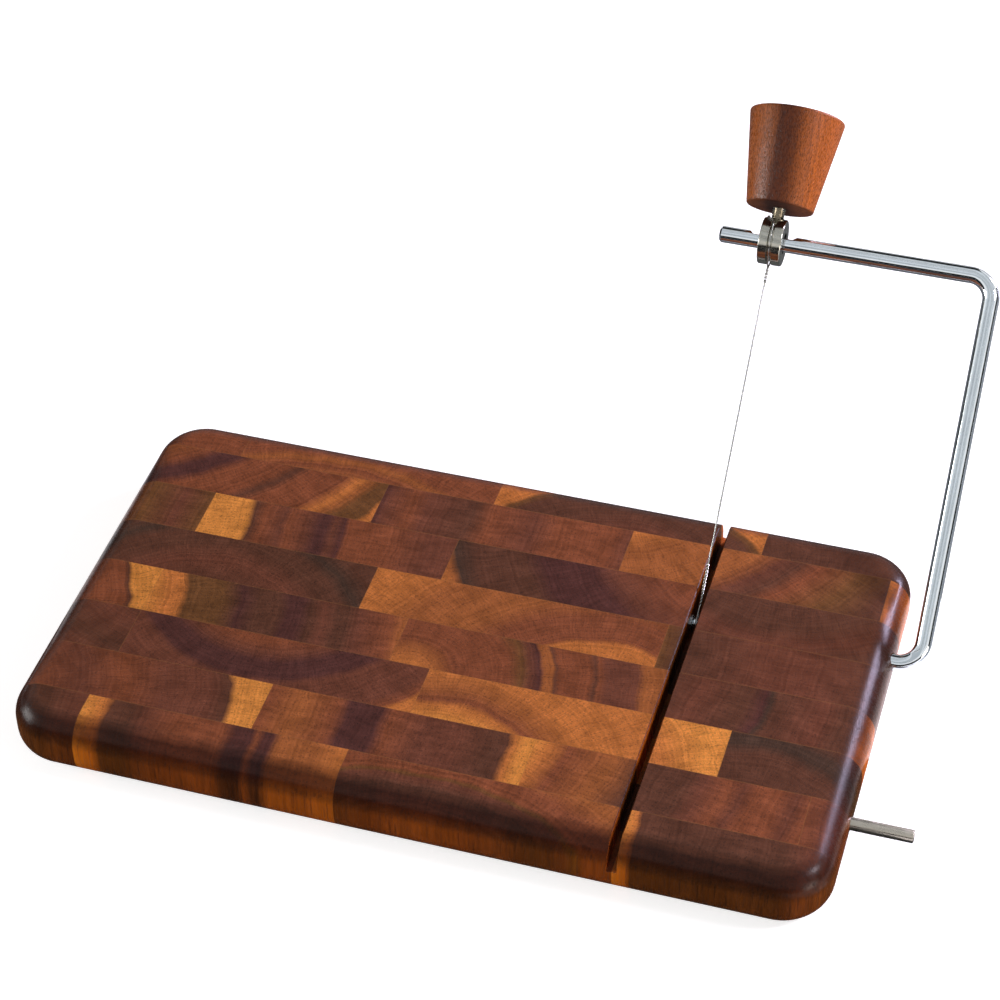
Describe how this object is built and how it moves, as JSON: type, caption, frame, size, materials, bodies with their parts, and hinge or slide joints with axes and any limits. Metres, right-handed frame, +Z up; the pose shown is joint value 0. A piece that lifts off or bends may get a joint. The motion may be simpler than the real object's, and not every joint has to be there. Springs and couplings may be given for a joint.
{
  "type": "cheese slicer board",
  "caption": "Glued end-grain wood cheese board with a sawn wire slot, a hinged bent-rod bow that carries a tensioned cutting wire, a wooden tension knob and a steel stop pin.",
  "frame": {"origin": "middle of the board's flat underside", "axes": "+X along the board towards the side that the bow stands on, +Y towards the back edge, +Z up out of the board's top"},
  "size_m": [0.3275, 0.2809, 0.162],
  "materials": {
    "wood_amber": "oiled amber-toned end-grain hardwood, satin",
    "wood_russet": "oiled russet-toned end-grain hardwood, satin",
    "wood_chestnut": "oiled chestnut-toned end-grain hardwood, satin",
    "wood_umber": "oiled umber-toned end-grain hardwood, satin",
    "slicer_bow": "bright polished chrome-plated steel rod",
    "tension_collar": "turned stainless steel, fine turning marks",
    "tension_stud": "plain threaded steel",
    "tension_knob": "turned and oiled hardwood, satin",
    "cutting_wire": "bright drawn stainless wire",
    "stop_pin": "satin steel rod with a bevelled end"
  },
  "bodies": {
    "board": {"board_row1_block1": "wood_chestnut", "board_row1_block2": "wood_russet", "board_row1_block3": "wood_umber", "board_row1_block4": "wood_umber", "board_row2_block1": "wood_chestnut", "board_row2_block2": "wood_chestnut", "board_row2_block3": "wood_russet", "board_row2_block4": "wood_russet", "board_row3_block1": "wood_chestnut", "board_row3_block2": "wood_russet", "board_row3_block3": "wood_amber", "board_row3_block4": "wood_umber", "board_row4_block1": "wood_russet", "board_row4_block2": "wood_umber", "board_row4_block3": "wood_russet", "board_row4_block4": "wood_chestnut", "board_row5_block1": "wood_umber", "board_row5_block2": "wood_amber", "board_row5_block3": "wood_chestnut", "board_row6_block1": "wood_russet", "board_row6_block2": "wood_chestnut", "board_row6_block3": "wood_umber", "board_row6_block4": "wood_umber", "board_row7_block1": "wood_russet", "board_row7_block2": "wood_chestnut", "board_row7_block3": "wood_russet", "board_row7_block4": "wood_amber", "board_row8_block1": "wood_russet", "board_row8_block2": "wood_russet", "board_row8_block3": "wood_umber", "board_row8_block4": "wood_umber", "stop_pin": "stop_pin"},
    "bow": {"slicer_bow": "slicer_bow", "cutting_wire": "cutting_wire"},
    "collar": {"tension_collar": "tension_collar"},
    "knob": {"tension_knob": "tension_knob", "tension_stud": "tension_stud"}
  },
  "joints": [
    {"name": "bow_hinge", "type": "hinge", "parent": "board", "child": "bow", "pos_m": [0.0776, 0.0356, 0.0162], "axis": [1, 0, 0], "range_deg": [-40, 135.5]},
    {"name": "knob_turn", "type": "hinge", "parent": "bow", "child": "knob", "pos_m": [0.0776, 0.14467, 0.11579], "axis": [0, 0.7385, 0.6743], "range_deg": [0, 360]},
    {"name": "collar_slide", "type": "slide", "parent": "bow", "child": "collar", "axis": [0, -0.7385, -0.6743], "range_m": [0, 0.0008], "deforming": ["cutting_wire"]}
  ],
  "couplings": [
    {"joint": "collar_slide", "follows": "knob_turn", "m_per_rad": 0.00012732}
  ]
}
